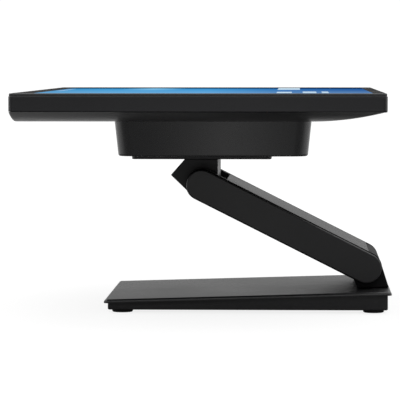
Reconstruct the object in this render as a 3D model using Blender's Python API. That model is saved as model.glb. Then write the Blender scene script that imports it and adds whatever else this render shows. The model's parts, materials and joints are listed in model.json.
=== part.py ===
"""An all-in-one touch PC on a folding desk stand, lying flat with its screen up.

Metres, +Z up. The origin is the middle of the footprint, on the table. The user sits at -Y, and the
stand's lower hinge is at the back, at +Y. Run with: blender --background --python part.py
"""

from math import acos, atan2, cos, hypot, pi, radians, sin, sqrt

import bmesh
import bpy
from mathutils import Matrix, Vector

# ---- driving dimensions ------------------------------------------------------------------------
GAP = 0.0003                    # between pieces that rest on each other
FIT = 0.0001                    # radial, round a shaft

# Display head, lying flat
HEAD_HALF_WIDTH = 0.227
HEAD_FRONT, HEAD_REAR = -0.139, 0.131
HEAD_TOP = 0.169
HEAD_CORNER = 0.003
RIM_BOTTOM = 0.1559             # lower edge of the flat side walls
BULGE_BOTTOM = 0.1478           # flat middle of the rear cover
BULGE_RUN = 0.058               # how far in from the rim the rear cover curves
SHELL = 0.002                   # wall of the plastic covers
GLASS = 0.0011
GASKET = 0.0004
FRAME_WALL = 0.003
SHELF_LOW, SHELF_HIGH = 0.1590, 0.1604      # inside the frame, under the panel
BUTTON_X, BUTTON_Z = 0.155, 0.1525          # power button, on the head's front face
BUTTON_HALF_WIDTH, BUTTON_HALF_HEIGHT = 0.0061, 0.0018

# Lit area of a 19.5 inch 16:9 panel
ACTIVE_HALF_WIDTH = 0.2158
ACTIVE_FRONT, ACTIVE_REAR = -0.122, 0.1208

# Layers of the display panel: how far each stands out past the lit area, and its height span
LCD_CELL = (0.0035, 0.1662, 0.1675)
DIFFUSER_FILMS = (0.0030, 0.1652, 0.1658)
LIGHT_GUIDE = (0.0025, 0.1622, 0.1648)
PANEL_TRAY = (0.0067, 0.1607, 0.1660)
TRAY_WALL, TRAY_FLOOR = 0.0007, 0.0008
LED_BAR = ((-0.212, 0.212), (-0.1276, -0.1250), (0.1620, 0.1646))
CHASSIS_PLATE = ((-0.219, 0.219), (-0.131, 0.123), (0.1572, 0.1584))
CABLE_WAY = ((-0.030, 0.000), (0.038, 0.048), (0.156, 0.160))
CABLE_SPAN = (-0.025, -0.005)

# Computer housing under the head
BOX_HALF_WIDTH = 0.151
BOX_FRONT, BOX_REAR = -0.069, 0.0775
BOX_BOTTOM = 0.1214
BOX_DRAFT = 0.0027              # how much smaller each side is at the bottom
BOX_CORNER = 0.011
BOX_CROWN = 0.0045              # how far the side walls stand out in the middle
BOX_WALL = 0.0022
BOARD_BOTTOM, BOARD_TOP = 0.1436, 0.1452

# Mounting plate between the housing and the neck
PLATE_HALF_WIDTH = 0.057
PLATE_HALF_DEPTH = 0.054
PLATE_BOTTOM = 0.1162
STIFFENER = 0.003
VESA_HALF_PITCH = 0.050

# Hinges and arm
TILT_AXIS = (-0.007, 0.0965)    # Y, Z of the upper pivot
ARM_AXIS = (0.1202, 0.0325)     # Y, Z of the lower pivot
KNUCKLE = 0.0121                # radius of both hinge knuckles
NECK_HALF_WIDTH = 0.041
NECK_TOP_FRONT = -0.0206        # Y where the neck's front flank meets the plate
BEAK = (-0.0316, 0.1034)        # Y, Z of the neck's front corner
ARM_HALF_THICKNESS = 0.0122
ARM_HALF_WIDTH = 0.063
CHEEK_INNER = 0.054
BEARING_INNER = 0.043
BLOCK_HALF_WIDTH = 0.052
SHAFT = 0.004                   # radius
BARREL = 0.0085                 # radius of the tilt shaft's friction barrel
WASHER = 0.009                  # radius
COVER_SKIN = 0.002
TOP_COVER_START = 0.0155        # down the arm from the upper pivot
SLOT_DEPTH = 0.0215             # clears the beak all the way round

# Base
BASE_HALF_WIDTH = 0.091
BASE_FRONT, BASE_REAR = -0.0807, 0.139
BASE_TOP_FRONT, BASE_TOP_REAR = 0.0102, 0.0167
BASE_LIP = 0.003                # height of the cover's edge
BASE_SKIN = 0.0016
BASE_EDGE = 0.0022              # round along the cover's upper edge
TRAY_INSET = 0.003
TRAY_BOTTOM = 0.0023
BLOCK_FRONT, BLOCK_REAR = 0.1134, 0.1378    # Y where the hinge block meets the base
BLOCK_SCREW_X, BLOCK_SCREW_Y = 0.034, 0.1256
FOOT = 0.008                    # radius
FOOT_X, FOOT_FRONT, FOOT_REAR = 0.078, -0.0669, 0.1253

# Under the main board: X span, Y span, and the gap to the board and thickness below it
MAIN_BOARD = ((-0.128, 0.072), (-0.061, 0.062))
PROCESSOR = ((0.010, 0.048), (-0.012, 0.020), 0.0, 0.0016)
COLD_PLATE = ((0.002, 0.056), (-0.024, 0.032), 0.0019, 0.0030)
MEMORY_MODULE = ((-0.118, -0.050), (0.022, 0.054), 0.0, 0.0038)
SSD_MODULE = ((-0.108, -0.028), (-0.014, 0.008), 0.0, 0.0030)
PIPE_DROP, PIPE_THICKNESS, PIPE_HALF_WIDTH = 0.0052, 0.0030, 0.004
SPEAKER_X, SPEAKER_Y, SPEAKER_HEIGHT = (0.084, 0.138), (-0.122, -0.100), 0.006

# Blower, beside the main board
BLOWER = (0.108, 0.004)         # X, Y of its axis
BLOWER_CAVITY = 0.0255          # radius
BLOWER_LOW, BLOWER_HIGH = 0.126, 0.1412

# Sockets in the housing's front wall: X, half width inside, height inside, thickness of the metal
SOCKET_MOUTH, SOCKET_BACK = -0.0666, -0.0530
SOCKETS = {
    "video_port": (-0.068, 0.0073, (0.1377, 0.1425), 0.0006),
    "network_port": (-0.040, 0.0060, (0.1310, 0.1405), 0.0020),
    "usb_stack_left": (-0.012, 0.0064, (0.1288, 0.1424), 0.0008),
    "usb_stack_right": (0.012, 0.0064, (0.1288, 0.1424), 0.0008),
}
USB_OPENING = 0.0052            # height of each of the two openings in a stack
INLET_X, INLET_Z = -0.096, 0.1376
INLET_OUTER, INLET_BORE = 0.0052, 0.0038

ROUND = 24                      # sides of a shaft, a washer or a foot
SMALL_ROUND = 16                # sides of a screw


# ---- tools -------------------------------------------------------------------------------------
def clear_scene():
    for found in list(bpy.data.objects):
        bpy.data.objects.remove(found, do_unlink=True)


def material(name, colour, roughness, metallic=0.0):
    made = bpy.data.materials.new(name)
    made.use_nodes = True
    shader = made.node_tree.nodes["Principled BSDF"]
    shader.inputs["Base Color"].default_value = (*colour, 1.0)
    shader.inputs["Roughness"].default_value = roughness
    shader.inputs["Metallic"].default_value = metallic
    return made


def finished(name, mesh, kind, parent):
    """Links a mesh as an object that hangs from its body's empty, without moving it."""
    made = bpy.data.objects.new(name, mesh)
    bpy.context.scene.collection.objects.link(made)
    mesh.materials.append(kind)
    mesh.shade_smooth()
    mesh.set_sharp_from_angle(angle=radians(35))
    if parent is not None:
        made.parent = parent
        made.matrix_parent_inverse = parent.matrix_world.inverted()
    return made


def axis_empty(name, location, parent=None):
    made = bpy.data.objects.new(name, None)
    bpy.context.scene.collection.objects.link(made)
    if parent is not None:
        made.parent = parent
        location = Vector(location) - parent.matrix_world.translation
    made.location = location
    bpy.context.view_layer.update()
    return made


def skinned(name, rings, kind, parent, closed=False):
    """Skins a row of point rings of equal length. An open row is capped; a closed one meets itself."""
    work = bmesh.new()
    loops = [[work.verts.new(point) for point in ring] for ring in rings]
    pairs = list(zip(loops, loops[1:]))
    if closed:
        pairs.append((loops[-1], loops[0]))
    else:
        work.faces.new(loops[0])
        work.faces.new(loops[-1])
    for one, other in pairs:
        for i in range(len(one)):
            j = (i + 1) % len(one)
            work.faces.new((one[i], one[j], other[j], other[i]))
    bmesh.ops.recalc_face_normals(work, faces=work.faces)
    mesh = bpy.data.meshes.new(name)
    work.to_mesh(mesh)
    work.free()
    return finished(name, mesh, kind, parent)


def arc(middle, radius, start, end, steps):
    """Points round a middle from one angle to another, in degrees."""
    turns = [radians(start + (end - start) * i / steps) for i in range(steps + 1)]
    return [(middle[0] + radius * cos(t), middle[1] + radius * sin(t)) for t in turns]


def circle(radius, middle=(0.0, 0.0), sides=ROUND):
    return arc(middle, radius, 0, 360, sides)[:-1]


def rounded(x_half, y_low, y_high, corner, steps=3, straight=1):
    """Outline of a rectangle with round corners, anticlockwise, with its middle on x = 0. Each side has
    a number of straight parts."""
    x, low, high = x_half - corner, y_low + corner, y_high - corner
    places = (((x, low), -90), ((x, high), 0), ((-x, high), 90), ((-x, low), 180))
    corners = [arc(middle, corner, turn, turn + 90, steps) for middle, turn in places]
    outline = []
    for i, points in enumerate(corners):
        outline += points
        start, end = Vector(points[-1]), Vector(corners[(i + 1) % 4][0])
        outline += [tuple(start.lerp(end, part / straight)) for part in range(1, straight)]
    return outline


def ribbon(path, half):
    """Outline of a band of even width along a path."""
    points = [Vector(point) for point in path]
    sides = []
    for i in range(len(points)):
        along = points[min(i + 1, len(points) - 1)] - points[max(i - 1, 0)]
        sides.append(Vector((-along.y, along.x)).normalized() * half)
    left = [point + side for point, side in zip(points, sides)]
    right = [point - side for point, side in zip(points, sides)]
    return [tuple(point) for point in right + left[::-1]]


def tangent_angle(middle, radius, point, side):
    """Where the line from a point touches a circle, in degrees. side is 1 or -1."""
    y, z = point[0] - middle[0], point[1] - middle[1]
    return (atan2(z, y) + side * acos(radius / hypot(y, z))) * 180 / pi


def level(outline, z):
    return [(x, y, z) for x, y in outline]


def slab(name, outline, low, high, kind, parent):
    return skinned(name, [level(outline, low), level(outline, high)], kind, parent)


def block(name, x, y, z, kind, parent):
    """A plain box from its three spans."""
    outline = [(x[0], y[0]), (x[1], y[0]), (x[1], y[1]), (x[0], y[1])]
    return slab(name, outline, z[0], z[1], kind, parent)


def across(name, outline, x_span, kind, parent):
    """A Y-Z outline carried along X."""
    return skinned(name, [[(x, y, z) for y, z in outline] for x in x_span], kind, parent)


def turned(name, middle, profile, kind, parent, sides=ROUND):
    """A solid of revolution on a vertical axis, from (radius, height) pairs."""
    return skinned(name, [level(circle(r, middle, sides), z) for r, z in profile], kind, parent)


def bevel(target, width, segments=2):
    change = target.modifiers.new("edges", "BEVEL")
    change.width = width
    change.segments = segments
    change.limit_method = "ANGLE"
    change.angle_limit = radians(40)


def join(target, other, operation):
    """Combines a piece with a helper solid, by DIFFERENCE or UNION."""
    other.hide_render = True
    other.display_type = "WIRE"
    change = target.modifiers.new(other.name, "BOOLEAN")
    change.operation = operation
    change.solver = "EXACT"
    change.object = other


def cut(target, cutter):
    join(target, cutter, "DIFFERENCE")


def box_cutters(name, spans):
    """One helper made of separate plain boxes, each given by its x, y and z spans."""
    work = bmesh.new()
    for x, y, z in spans:
        size = Vector((x[1] - x[0], y[1] - y[0], z[1] - z[0]))
        middle = Vector((x[0] + x[1], y[0] + y[1], z[0] + z[1])) / 2
        bmesh.ops.create_cube(work, size=1.0, matrix=Matrix.Translation(middle) @ Matrix.Diagonal((*size, 1)))
    mesh = bpy.data.meshes.new(name)
    work.to_mesh(mesh)
    work.free()
    return finished(name, mesh, HELPER, None)


def round_cutters(name, middles, radius, low, high):
    """One helper made of separate upright cylinders."""
    work = bmesh.new()
    for x, y in middles:
        place = Matrix.Translation((x, y, (low + high) / 2))
        bmesh.ops.create_cone(work, cap_ends=True, segments=SMALL_ROUND, radius1=radius, radius2=radius,
                              depth=high - low, matrix=place)
    mesh = bpy.data.meshes.new(name)
    work.to_mesh(mesh)
    work.free()
    return finished(name, mesh, HELPER, None)


def bore(target, radius, axis, x_span):
    """A round hole along X."""
    cut(target, across(target.name + "_bore", circle(radius, axis), x_span, HELPER, None))


def screw(name, middle, head_low, head, shank, parent):
    """A screw that points up. head and shank are (radius, length)."""
    neck = head_low + head[1]
    profile = [(head[0], head_low), (head[0], neck), (shank[0], neck), (shank[0], neck + shank[1])]
    turned(name, middle, profile, STEEL, parent, SMALL_ROUND)


def on_both_sides(build, parent):
    """Builds a left and a right copy. build gets the side's name, its sign along X and the parent."""
    for side, sign in (("left", -1), ("right", 1)):
        build(side, sign, parent)


def side_span(inner, outer, sign):
    """The X span from inner to outer on the side that sign names, in rising order."""
    return tuple(sorted((inner * sign, outer * sign)))


clear_scene()
BLACK_PLASTIC = material("black_plastic", (0.018, 0.018, 0.019), 0.42)
BLACK_METAL = material("black_metal", (0.016, 0.016, 0.017), 0.38)
GLASS_BLACK = material("glass_black", (0.010, 0.010, 0.012), 0.06)
PANEL_BLACK = material("panel_black", (0.02, 0.02, 0.03), 0.25)
WHITE_PLASTIC = material("white_plastic", (0.8, 0.8, 0.8), 0.5)
CLEAR_PLASTIC = material("clear_plastic", (0.85, 0.88, 0.9), 0.1)
RUBBER = material("rubber", (0.02, 0.02, 0.02), 0.85)
STEEL = material("steel", (0.45, 0.45, 0.46), 0.35, 1.0)
SOCKET_METAL = material("socket_metal", (0.6, 0.6, 0.6), 0.25, 1.0)
ALUMINIUM = material("aluminium", (0.6, 0.61, 0.62), 0.4, 1.0)
COPPER = material("copper", (0.72, 0.36, 0.22), 0.3, 1.0)
CIRCUIT_BOARD = material("circuit_board", (0.02, 0.09, 0.04), 0.45)
HELPER = material("helper", (0.8, 0.2, 0.2), 0.5)


# ---- base --------------------------------------------------------------------------------------
def base_top(y):
    share = (y - BASE_FRONT) / (BASE_REAR - BASE_FRONT)
    return BASE_TOP_FRONT + (BASE_TOP_REAR - BASE_TOP_FRONT) * share


def sloped(outline, below):
    """A ring parallel to the base's sloping top, a given distance under it."""
    return [(x, y, base_top(y) - below) for x, y in outline]


def base_outline(inset):
    corner = max(HEAD_CORNER - inset, 0.0012)
    return rounded(BASE_HALF_WIDTH - inset, BASE_FRONT + inset, BASE_REAR - inset, corner)


def make_base_cover():
    inner = base_outline(BASE_SKIN)
    rings = [sloped(inner, BASE_SKIN), sloped(inner, BASE_LIP)]
    for turn in (radians(angle) for angle in (0, 30, 60, 90)):
        rings.append(sloped(base_outline(BASE_EDGE * (1 - cos(turn))), BASE_LIP * (1 - sin(turn))))
    return skinned("base_cover", rings, BLACK_METAL, None)


def make_base_tray():
    outer, inner = base_outline(TRAY_INSET), base_outline(TRAY_INSET + SHELL)
    under_cover = BASE_SKIN + GAP
    rings = [
        level(outer, TRAY_BOTTOM),
        sloped(outer, under_cover),
        sloped(inner, under_cover),
        level(inner, TRAY_BOTTOM + SHELL),
    ]
    return skinned("base_tray", rings, BLACK_PLASTIC, None)


def make_base_ballast():
    outline = base_outline(TRAY_INSET + SHELL + GAP)
    rings = [level(outline, TRAY_BOTTOM + SHELL + GAP), sloped(outline, BASE_SKIN + 2 * GAP)]
    return skinned("base_ballast", rings, STEEL, None)


def make_foot(name, middle):
    """A rubber disc with a round lower edge."""
    profile = [(FOOT, TRAY_BOTTOM - GAP), (FOOT, 0.0012), (0.93 * FOOT, 0.0004), (0.8 * FOOT, 0.0)]
    turned(name, middle, profile, RUBBER, None)


def make_hinge_block():
    """The lower knuckle on its flared foot. Both flanks are tangents to the knuckle."""
    front = (BLOCK_FRONT, base_top(BLOCK_FRONT) + GAP)
    rear = (BLOCK_REAR, base_top(BLOCK_REAR) + GAP)
    start = tangent_angle(ARM_AXIS, KNUCKLE, rear, 1)
    end = tangent_angle(ARM_AXIS, KNUCKLE, front, -1) % 360
    outline = [front, rear, *arc(ARM_AXIS, KNUCKLE, start, end, 12)]
    half = BLOCK_HALF_WIDTH
    made = across("arm_hinge_block", outline, (-half, half), BLACK_METAL, None)
    bore(made, SHAFT + FIT, ARM_AXIS, (-half - GAP, half + GAP))
    return made


def make_base():
    pieces = [make_base_cover(), make_hinge_block(), make_base_ballast(), make_base_tray()]
    for row, y in (("front", FOOT_FRONT), ("rear", FOOT_REAR)):
        for side, sign in (("left", -1), ("right", 1)):
            make_foot(f"foot_{row}_{side}", (sign * FOOT_X, y))

    head, shank = (0.0045, 0.0026), (0.0025, 0.0190)
    head_low = TRAY_BOTTOM + GAP
    neck = head_low + head[1]
    middles = [(-BLOCK_SCREW_X, BLOCK_SCREW_Y), (BLOCK_SCREW_X, BLOCK_SCREW_Y)]
    shank_ways = round_cutters("block_screw_ways", middles, shank[0] + GAP, 0.0, neck + shank[1] + GAP)
    head_ways = round_cutters("block_screw_recesses", middles, head[0] + GAP, 0.0, neck + GAP)
    for piece in pieces:
        cut(piece, shank_ways)
    for piece in pieces[2:]:
        cut(piece, head_ways)
    for side, middle in zip(("left", "right"), middles):
        screw(f"hinge_block_screw_{side}", middle, head_low, head, shank, None)


# ---- arm ---------------------------------------------------------------------------------------
ARM_RUN = (ARM_AXIS[0] - TILT_AXIS[0], ARM_AXIS[1] - TILT_AXIS[1])
ARM_LENGTH = hypot(*ARM_RUN)
ALONG = (ARM_RUN[0] / ARM_LENGTH, ARM_RUN[1] / ARM_LENGTH)


def in_arm(points):
    """From (distance down the arm from the upper pivot, height over its centre line) to (Y, Z)."""
    return [
        (TILT_AXIS[0] + s * ALONG[0] - n * ALONG[1], TILT_AXIS[1] + s * ALONG[1] + n * ALONG[0])
        for s, n in points
    ]


def make_cheek(side, sign, parent):
    """One side of the arm, round at both ends, with a blind bore for the lower shaft."""
    outline = arc((0, 0), ARM_HALF_THICKNESS, 90, 270, 12)
    outline += arc((ARM_LENGTH, 0), ARM_HALF_THICKNESS, -90, 90, 12)
    x_span = side_span(CHEEK_INNER, ARM_HALF_WIDTH, sign)
    made = across(f"arm_cheek_{side}", in_arm(outline), x_span, BLACK_PLASTIC, parent)
    bevel(made, 0.0008)
    bore(made, SHAFT + FIT, ARM_AXIS, side_span(CHEEK_INNER - GAP, 0.0593, sign))


def make_bearing(side, sign, parent):
    """Fills the arm's upper end between the cheek and the neck, and carries the tilt shaft."""
    end = TOP_COVER_START - GAP
    outline = arc((0, 0), ARM_HALF_THICKNESS, 90, 270, 12)
    outline += [(end, -ARM_HALF_THICKNESS), (end, ARM_HALF_THICKNESS)]
    x_span = side_span(BEARING_INNER, CHEEK_INNER - GAP, sign)
    made = across(f"tilt_bearing_{side}", in_arm(outline), x_span, BLACK_PLASTIC, parent)
    bore(made, SHAFT + FIT, TILT_AXIS, side_span(BEARING_INNER - GAP, CHEEK_INNER, sign))


def make_arm_cover(name, sign, start, reach_back, parent):
    """A skin on the arm's upper (1) or lower (-1) face. Its end is cut back round the lower knuckle."""
    outer, inner = ARM_HALF_THICKNESS, ARM_HALF_THICKNESS - COVER_SKIN
    clear = KNUCKLE + 0.0005
    outline = [
        (start, sign * inner),
        (start, sign * outer),
        (ARM_LENGTH - reach_back, sign * outer),
        (ARM_LENGTH - sqrt(clear**2 - inner**2), sign * inner),
    ]
    half = CHEEK_INNER - GAP
    across(name, in_arm(outline), (-half, half), BLACK_PLASTIC, parent)


def make_crossbeam(parent):
    """The stiff box between the cheeks, under the covers, open at its lower end."""
    start, end, wall = SLOT_DEPTH, ARM_LENGTH - 0.0145, 0.0035
    high, half = ARM_HALF_THICKNESS - COVER_SKIN - GAP, CHEEK_INNER - GAP
    outline = in_arm([(start, -high), (end, -high), (end, high), (start, high)])
    made = across("arm_crossbeam", outline, (-half, half), ALUMINIUM, parent)
    low, high, half = start + wall, high - wall, half - wall
    hollow = in_arm([(low, -high), (end + GAP, -high), (end + GAP, high), (low, high)])
    cut(made, across("crossbeam_hollow", hollow, (-half, half), HELPER, None))


def make_washer(name, axis, x_span, parent):
    """A friction washer on a shaft that runs along X."""
    sizes = [(SHAFT + FIT, x_span[0]), (WASHER, x_span[0]), (WASHER, x_span[1]), (SHAFT + FIT, x_span[1])]
    rings = [[(x, y, z) for y, z in circle(radius, axis)] for radius, x in sizes]
    skinned(name, rings, STEEL, parent, closed=True)


def make_arm(parent):
    on_both_sides(make_cheek, parent)
    on_both_sides(make_bearing, parent)
    make_arm_cover("arm_top_cover", 1, TOP_COVER_START, 0.0035, parent)
    make_arm_cover("arm_bottom_cover", -1, SLOT_DEPTH, 0.0062, parent)
    make_crossbeam(parent)
    across("arm_hinge_shaft", circle(SHAFT, ARM_AXIS), (-0.059, 0.059), STEEL, parent)
    for side, sign in (("left", -1), ("right", 1)):
        x_span = side_span(BLOCK_HALF_WIDTH + GAP, CHEEK_INNER - GAP, sign)
        make_washer(f"arm_washer_{side}", ARM_AXIS, x_span, parent)


def make_tilt_shaft(parent):
    """A stepped shaft, whose fat middle is the friction barrel inside the head's knuckle."""
    barrel_end = NECK_HALF_WIDTH - GAP
    shaft_end = CHEEK_INNER - 2 * GAP
    steps = [(SHAFT, -shaft_end), (SHAFT, -barrel_end), (BARREL, -barrel_end),
             (BARREL, barrel_end), (SHAFT, barrel_end), (SHAFT, shaft_end)]
    rings = [[(x, y, z) for y, z in circle(radius, TILT_AXIS)] for radius, x in steps]
    skinned("tilt_hinge_shaft", rings, STEEL, parent)
    for side, sign in (("left", -1), ("right", 1)):
        x_span = side_span(NECK_HALF_WIDTH + GAP, BEARING_INNER - GAP, sign)
        make_washer(f"tilt_washer_{side}", TILT_AXIS, x_span, parent)


# ---- head: outer pieces ------------------------------------------------------------------------
def head_outline(inset):
    corner = max(HEAD_CORNER - inset, 0.0012)
    return rounded(HEAD_HALF_WIDTH - inset, HEAD_FRONT + inset, HEAD_REAR - inset, corner)


def make_cover_glass(parent):
    made = slab("cover_glass", head_outline(0.0004), HEAD_TOP - GLASS, HEAD_TOP, GLASS_BLACK, parent)
    bevel(made, 0.0002, 1)


def make_gasket(parent):
    """A thin ring between the glass and the frame, set back from their edges."""
    high = HEAD_TOP - GLASS - GAP
    outer, inner = head_outline(0.0014), head_outline(0.0035)
    rings = [level(outer, high - GASKET), level(outer, high), level(inner, high), level(inner, high - GASKET)]
    skinned("glass_gasket", rings, RUBBER, parent, closed=True)


def make_side_frame(parent):
    """The head's side walls, with a shelf inside that carries the panel."""
    top = HEAD_TOP - GLASS - GASKET - 2 * GAP
    outer, wall, shelf = head_outline(0), head_outline(FRAME_WALL), head_outline(0.013)
    rings = [
        level(outer, RIM_BOTTOM),
        level(outer, top),
        level(wall, top),
        level(wall, SHELF_HIGH),
        level(shelf, SHELF_HIGH),
        level(shelf, SHELF_LOW),
        level(wall, SHELF_LOW),
        level(wall, RIM_BOTTOM),
    ]
    skinned("side_frame", rings, BLACK_METAL, parent, closed=True)


def bulge(share, shell):
    """A ring of the rear cover's arched surface, a share of the way in from the rim, shell inside it."""
    drop = RIM_BOTTOM - BULGE_BOTTOM
    radius = (BULGE_RUN**2 + drop**2) / (2 * drop)
    run = BULGE_RUN * share
    height = BULGE_BOTTOM + radius - sqrt(radius**2 - (BULGE_RUN - run) ** 2) + shell
    outline = rounded(HEAD_HALF_WIDTH - shell - run, HEAD_FRONT + shell, HEAD_REAR - shell - run,
                      max(HEAD_CORNER - shell, 0.0012))
    return level(outline, height - GAP * (share == 0))


def make_rear_cover(parent):
    """A thin shell: flat in the middle, arched up to the rim at both sides and the back, cut off flat at
    the front, with a way through to the housing."""
    shares = (0, 0.12, 0.28, 0.46, 0.66, 1)
    way = rounded(0.140, -0.060, 0.068, 0.006)
    rings = [bulge(share, 0) for share in shares]
    rings += [level(way, BULGE_BOTTOM), level(way, BULGE_BOTTOM + SHELL)]
    rings += [bulge(share, SHELL) for share in reversed(shares[2:])]
    rings.append(level(head_outline(SHELL), RIM_BOTTOM - GAP))
    made = skinned("rear_cover", rings, BLACK_PLASTIC, parent, closed=True)
    half_x, half_z = BUTTON_HALF_WIDTH + GAP, BUTTON_HALF_HEIGHT + GAP
    ways = [((BUTTON_X - half_x, BUTTON_X + half_x), (HEAD_FRONT - GAP, HEAD_FRONT + 2 * SHELL),
             (BUTTON_Z - half_z, BUTTON_Z + half_z))]
    for sign in (-1, 1):
        for i in range(6):
            x = sign * (0.096 + 0.006 * i)
            ways.append(((x - 0.001, x + 0.001), (-0.118, -0.104), (BULGE_BOTTOM - GAP, 0.152)))
    cut(made, box_cutters("rear_cover_ways", ways))


def box_ring(inset, z):
    """A ring of the housing, which narrows a little towards its bottom. Its side walls are crowned."""
    take = inset + BOX_DRAFT * (BULGE_BOTTOM - z) / (BULGE_BOTTOM - BOX_BOTTOM)
    outline = rounded(BOX_HALF_WIDTH - take, BOX_FRONT + take, BOX_REAR - take, BOX_CORNER - inset, 4, 6)
    middle, half = (BOX_FRONT + BOX_REAR) / 2, (BOX_REAR - BOX_FRONT) / 2
    fall = BOX_CROWN / BOX_HALF_WIDTH
    return [(x * (1 - fall * ((y - middle) / half) ** 2), y, z) for x, y in outline]


def make_housing(parent):
    top = BULGE_BOTTOM - GAP
    rings = [
        box_ring(0.0014, BOX_BOTTOM),
        box_ring(0.0004, BOX_BOTTOM + 0.0004),
        box_ring(0, BOX_BOTTOM + 0.0014),
        box_ring(0, top),
        box_ring(BOX_WALL, top),
        box_ring(BOX_WALL, BOX_BOTTOM + BOX_WALL),
    ]
    made = skinned("computer_housing", rings, BLACK_PLASTIC, parent)
    through = (BOX_FRONT - 0.002, BOX_FRONT + 0.008)
    ways = []
    for x, half, heights, metal in SOCKETS.values():
        edge = metal + GAP
        ways.append(((x - half - edge, x + half + edge), through, (heights[0] - edge, heights[1] + edge)))
    edge = INLET_OUTER + GAP
    ways.append(((INLET_X - edge, INLET_X + edge), through, (INLET_Z - edge, INLET_Z + edge)))
    for i in range(10):
        x = BLOWER[0] - 0.0252 + 0.0054 * i
        ways.append(((x, x + 0.003), (0.070, 0.080), (0.1275, 0.1350)))
    for i in range(9):
        x = BLOWER[0] - 0.0238 + 0.0056 * i
        ways.append(((x, x + 0.0028), (-0.016, 0.024), (0.120, 0.125)))
    cut(made, box_cutters("housing_ways", ways))
    return made


def vesa_points():
    y = TILT_AXIS[0]
    return [(i * VESA_HALF_PITCH, y + j * VESA_HALF_PITCH) for i in (-1, 1) for j in (-1, 1)]


def make_mount(housing, parent):
    """The plate under the housing, the stiffener inside it, and the screws that hold them together."""
    y = TILT_AXIS[0]
    top = BOX_BOTTOM - GAP
    outline = rounded(PLATE_HALF_WIDTH, y - PLATE_HALF_DEPTH, y + PLATE_HALF_DEPTH, 0.004)
    plate = slab("mounting_plate", outline, PLATE_BOTTOM, top, BLACK_METAL, parent)
    bevel(plate, 0.0005, 1)
    low = BOX_BOTTOM + BOX_WALL + GAP
    stiffener = block("vesa_stiffener", (-0.056, 0.056), (y - 0.0535, y + 0.0535), (low, low + STIFFENER),
                      STEEL, parent)
    head, shank = (0.0038, 0.0022), (0.0019, 0.0084)
    head_low = PLATE_BOTTOM + GAP
    shank_ways = round_cutters("vesa_ways", vesa_points(), shank[0] + GAP, PLATE_BOTTOM - GAP, 0.130)
    head_ways = round_cutters("vesa_recesses", vesa_points(), head[0] + GAP, PLATE_BOTTOM - GAP,
                              head_low + head[1] + GAP)
    for piece in (plate, stiffener, housing):
        cut(piece, shank_ways)
    cut(plate, head_ways)
    for i, middle in enumerate(vesa_points()):
        screw(f"vesa_screw_{i + 1}", middle, head_low, head, shank, parent)


def make_neck(parent):
    """A knuckle on the tilt axis with a beak at the front and a flat top under the plate."""
    top = PLATE_BOTTOM - GAP
    start = tangent_angle(TILT_AXIS, KNUCKLE, BEAK, 1) % 360
    outline = [(TILT_AXIS[0] + KNUCKLE, top), (NECK_TOP_FRONT, top), BEAK]
    outline += arc(TILT_AXIS, KNUCKLE, start, 360, 10)
    half = NECK_HALF_WIDTH
    made = across("tilt_knuckle", outline, (-half, half), BLACK_METAL, parent)
    bore(made, BARREL + FIT, TILT_AXIS, (-half - GAP, half + GAP))


def make_power_button(parent):
    """A flush key with a flange behind the cover's wall."""
    x, z = BUTTON_X, BUTTON_Z
    front, wall = HEAD_FRONT + 0.0002, HEAD_FRONT + SHELL + GAP

    def ring(grow, y):
        half_x, half_z = BUTTON_HALF_WIDTH + grow, BUTTON_HALF_HEIGHT + grow
        return [(x + i * half_x, y, z + j * half_z) for i, j in ((-1, -1), (1, -1), (1, 1), (-1, 1))]

    rings = [ring(-0.0003, front), ring(0, front + 0.0003), ring(0, wall), ring(0.0006, wall),
             ring(0.0006, wall + 0.001)]
    skinned("power_button", rings, BLACK_PLASTIC, parent)


# ---- head: display panel -----------------------------------------------------------------------
def panel_outline(grow):
    return rounded(ACTIVE_HALF_WIDTH + grow, ACTIVE_FRONT - grow, ACTIVE_REAR + grow, 0.001, 2)


def make_panel(parent):
    """Cell, films, light guide and light bar in their steel tray, on the chassis plate."""
    layers = (("lcd_cell", LCD_CELL, PANEL_BLACK), ("diffuser_films", DIFFUSER_FILMS, WHITE_PLASTIC),
              ("light_guide", LIGHT_GUIDE, CLEAR_PLASTIC))
    for name, (grow, low, high), kind in layers:
        slab(name, panel_outline(grow), low, high, kind, parent)
    block("led_bar", *LED_BAR, WHITE_PLASTIC, parent)
    grow, low, high = PANEL_TRAY
    outer, inner = panel_outline(grow), panel_outline(grow - TRAY_WALL)
    rings = [level(outer, low), level(outer, high), level(inner, high), level(inner, low + TRAY_FLOOR)]
    skinned("panel_tray", rings, STEEL, parent)
    chassis = block("chassis_plate", *CHASSIS_PLATE, STEEL, parent)
    cut(chassis, box_cutters("cable_way", [CABLE_WAY]))
    path = [(0.043, 0.1602), *arc((0.037, 0.1525), 0.006, 0, -90, 4), (0.022, 0.1465)]
    across("display_cable", ribbon(path, 0.0003), CABLE_SPAN, COPPER, parent)


# ---- head: computer ----------------------------------------------------------------------------
def make_single_socket(name, parent):
    """A metal shell, open towards the front."""
    x, half, heights, metal = SOCKETS[name]

    def ring(grow, y):
        low, high, reach = heights[0] - grow, heights[1] + grow, half + grow
        return [(x - reach, y, low), (x + reach, y, low), (x + reach, y, high), (x - reach, y, high)]

    rings = [ring(metal, SOCKET_BACK), ring(metal, SOCKET_MOUTH), ring(0, SOCKET_MOUTH),
             ring(0, SOCKET_BACK - metal)]
    skinned(name, rings, SOCKET_METAL, parent)


def make_usb_stack(name, parent):
    """Two openings, one over the other, in one shell."""
    x, half, (low, high), metal = SOCKETS[name]
    reach = half + metal
    made = block(name, (x - reach, x + reach), (SOCKET_MOUTH, SOCKET_BACK), (low - metal, high + metal),
                 SOCKET_METAL, parent)
    inside = ((x - half, x + half), (SOCKET_MOUTH - GAP, SOCKET_BACK - 0.001))
    heights = ((low, low + USB_OPENING), (high - USB_OPENING, high))
    cut(made, box_cutters(name + "_openings", [(*inside, height) for height in heights]))


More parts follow.
